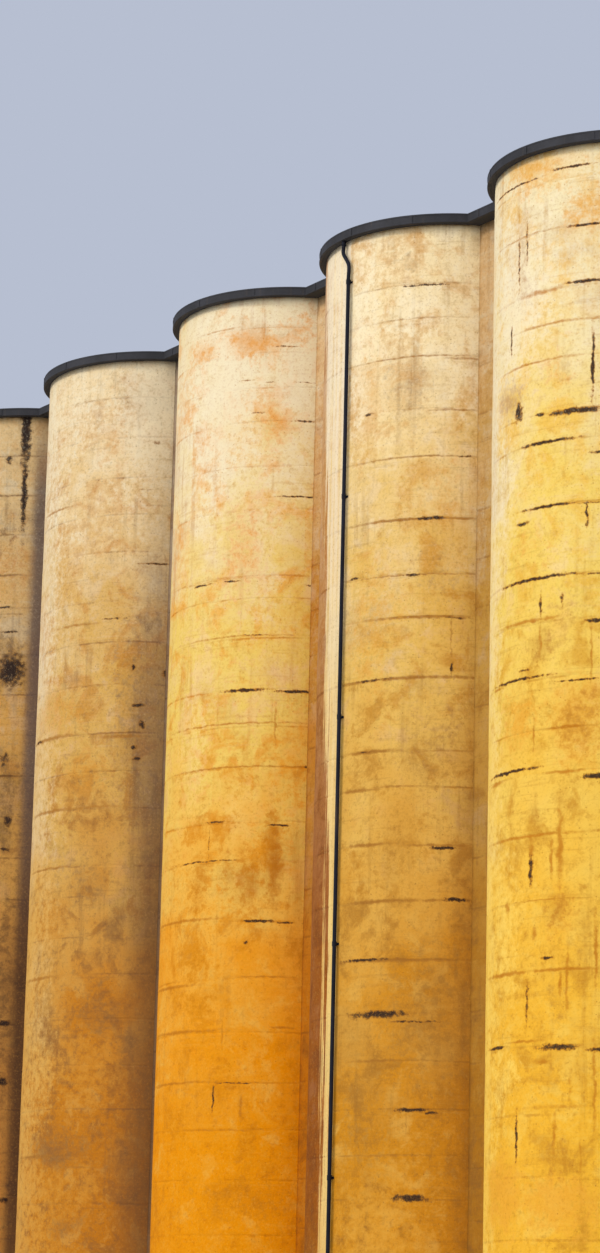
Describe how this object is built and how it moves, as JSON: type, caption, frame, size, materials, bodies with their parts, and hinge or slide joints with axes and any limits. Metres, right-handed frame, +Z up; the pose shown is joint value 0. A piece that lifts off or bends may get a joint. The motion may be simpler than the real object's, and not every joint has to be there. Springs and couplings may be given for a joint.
{
  "type": "concrete silo",
  "caption": "Bank of round cast concrete silos in one row, joined by recessed link walls under a flat roof with a dark edge band, with a downpipe on the front.",
  "frame": {"origin": "middle of the footprint, at floor level", "axes": "+X along the row of silos, +Y from front to back, +Z up"},
  "size_m": [37.1, 7.1, 30.2403],
  "materials": {
    "concrete_1": "weathered cast concrete",
    "concrete_2": "weathered cast concrete",
    "concrete_3": "weathered cast concrete",
    "concrete_4": "weathered cast concrete",
    "concrete_5": "weathered cast concrete",
    "concrete_plain": "weathered cast concrete",
    "roof_concrete": "grey cast concrete",
    "roof_edge": "matt charcoal coating",
    "downpipe": "matt dark paint"
  },
  "bodies": {
    "root": {"silo_1_front_shell": "concrete_1", "silo_1_back_shell": "concrete_1", "silo_floor_1": "concrete_plain", "roof_slab_1": "roof_concrete", "roof_edge_1": "roof_edge", "link_wall_front_1": "concrete_plain", "link_wall_back_1": "concrete_plain", "silo_2_front_shell": "concrete_2", "silo_2_back_shell": "concrete_2", "silo_floor_2": "concrete_plain", "roof_slab_2": "roof_concrete", "roof_edge_front_2": "roof_edge", "roof_edge_back_2": "roof_edge", "link_wall_front_2": "concrete_plain", "link_wall_back_2": "concrete_plain", "silo_3_front_shell": "concrete_3", "silo_3_back_shell": "concrete_3", "silo_floor_3": "concrete_plain", "roof_slab_3": "roof_concrete", "roof_edge_front_3": "roof_edge", "roof_edge_back_3": "roof_edge", "link_wall_front_3": "concrete_plain", "link_wall_back_3": "concrete_plain", "silo_4_front_shell": "concrete_4", "silo_4_back_shell": "concrete_4", "silo_floor_4": "concrete_plain", "roof_slab_4": "roof_concrete", "roof_edge_front_4": "roof_edge", "roof_edge_back_4": "roof_edge", "link_wall_front_4": "concrete_plain", "link_wall_back_4": "concrete_plain", "silo_5_front_shell": "concrete_5", "silo_5_back_shell": "concrete_5", "silo_floor_5": "concrete_plain", "roof_slab_5": "roof_concrete", "roof_edge_5": "roof_edge", "downpipe_swan_neck": "downpipe", "downpipe_length_1": "downpipe", "downpipe_length_2": "downpipe", "downpipe_length_3": "downpipe", "downpipe_length_4": "downpipe", "downpipe_length_5": "downpipe", "downpipe_foot": "downpipe"}
  },
  "joints": []
}
